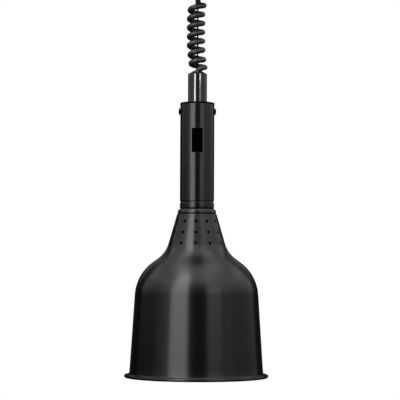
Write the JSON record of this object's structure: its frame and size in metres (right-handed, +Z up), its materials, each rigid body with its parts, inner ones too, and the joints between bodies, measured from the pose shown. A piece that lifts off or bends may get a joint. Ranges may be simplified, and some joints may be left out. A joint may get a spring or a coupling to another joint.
{
  "type": "heat lamp warmer",
  "caption": "Ceiling-hung rise-and-fall heat lamp: canopy with spring reel, curly cord round a steel cable, switched neck, spun bell shade with perforated cone, reflector bulb.",
  "frame": {"origin": "centre of the ceiling plate's flat top face, where it meets the ceiling", "axes": "+Z up, out of the ceiling plate; the lamp hangs towards -Z; the switch faces -Y; +X to the right seen from the front"},
  "size_m": [0.1836, 0.1836, 0.5841],
  "materials": {
    "satin_black": "satin black over spun and brushed sheet, fine turning lines",
    "matt_black": "matt black, fine-grained",
    "gloss_black": "gloss black",
    "zinc_steel": "zinc-plated steel, dull",
    "bright_steel": "bright steel",
    "spring_steel": "blued spring strip",
    "wire_rope": "blackened stranded wire rope",
    "black_nylon": "moulded black nylon",
    "black_plastic": "fine-textured black plastic",
    "black_rubber": "smooth black cord jacket",
    "brass": "plain brass",
    "white_plastic": "moulded white plastic",
    "porcelain": "glazed porcelain",
    "bulb_glass": "frosted infrared bulb glass",
    "filament_wire": "tungsten and lead wire",
    "black_insulation": "wire insulation",
    "white_insulation": "wire insulation",
    "red_insulation": "wire insulation",
    "green_insulation": "wire insulation"
  },
  "bodies": {
    "ceiling_mount": {"ceiling_plate": "zinc_steel", "canopy_shell": "satin_black", "canopy_screw_left": "matt_black", "canopy_screw_right": "matt_black", "reel_frame": "zinc_steel", "reel_frame_screw_outer": "bright_steel", "reel_frame_screw_inner": "bright_steel", "reel_axle": "bright_steel", "reel_spring_case": "black_nylon", "reel_power_spring": "spring_steel", "guide_socket": "black_nylon", "guide_nut": "zinc_steel", "terminal_block": "white_plastic", "terminal_screw_line": "brass", "terminal_screw_neutral": "brass", "reel_cable_run": "wire_rope", "cord_in_canopy": "black_rubber"},
    "reel": {"reel_drum": "black_nylon", "reel_cable_wrap": "wire_rope"},
    "hang_swivel": {"guide_ball": "black_nylon", "cord_grip": "black_rubber", "suspension_cable": "wire_rope", "curly_cord": "black_rubber"},
    "lamp": {"cord_in_stem": "black_rubber", "stem_tube": "gloss_black", "stem_bush": "black_rubber", "cable_anchor": "zinc_steel", "cable_ferrule": "zinc_steel", "stem_nut": "zinc_steel", "ground_lug": "brass", "neck_cap": "matt_black", "cap_screw_left": "matt_black", "cap_screw_right": "matt_black", "neck_tube": "satin_black", "switch_housing": "black_plastic", "rocker_pin": "bright_steel", "switch_terminal_upper": "brass", "switch_terminal_lower": "brass", "socket_body": "porcelain", "socket_shell": "brass", "socket_contact": "brass", "socket_clamp_ring": "zinc_steel", "lead_line": "black_insulation", "lead_neutral": "white_insulation", "lead_switched": "red_insulation", "lead_ground": "green_insulation", "shade_collar": "satin_black", "shade_nut": "zinc_steel", "shade": "satin_black", "bulb_glass": "bulb_glass", "bulb_base": "brass", "bulb_contact": "brass", "bulb_stem": "bulb_glass", "filament": "filament_wire", "filament_lead_left": "filament_wire", "filament_lead_right": "filament_wire"},
    "rocker": {"switch_rocker": "black_plastic"}
  },
  "joints": [
    {"name": "lamp_swing", "type": "hinge", "parent": "ceiling_mount", "child": "hang_swivel", "pos_m": [0, 0, -0.067], "axis": [0, 1, 0], "range_deg": [-12, 12]},
    {"name": "lamp_height", "type": "slide", "parent": "hang_swivel", "child": "lamp", "axis": [0, 0, -1], "range_m": [-0.028, 0.2], "deforming": ["suspension_cable", "curly_cord"]},
    {"name": "reel_spin", "type": "hinge", "parent": "ceiling_mount", "child": "reel", "pos_m": [-0.02, 0, -0.032], "axis": [0, 1, 0], "range_deg": [-90, 580]},
    {"name": "rocker_tilt", "type": "hinge", "parent": "lamp", "child": "rocker", "pos_m": [0, -0.0155, -0.2827], "axis": [1, 0, 0], "range_deg": [0, 14]}
  ],
  "couplings": [
    {"joint": "reel_spin", "follows": "lamp_height", "rad_per_m": 50}
  ]
}
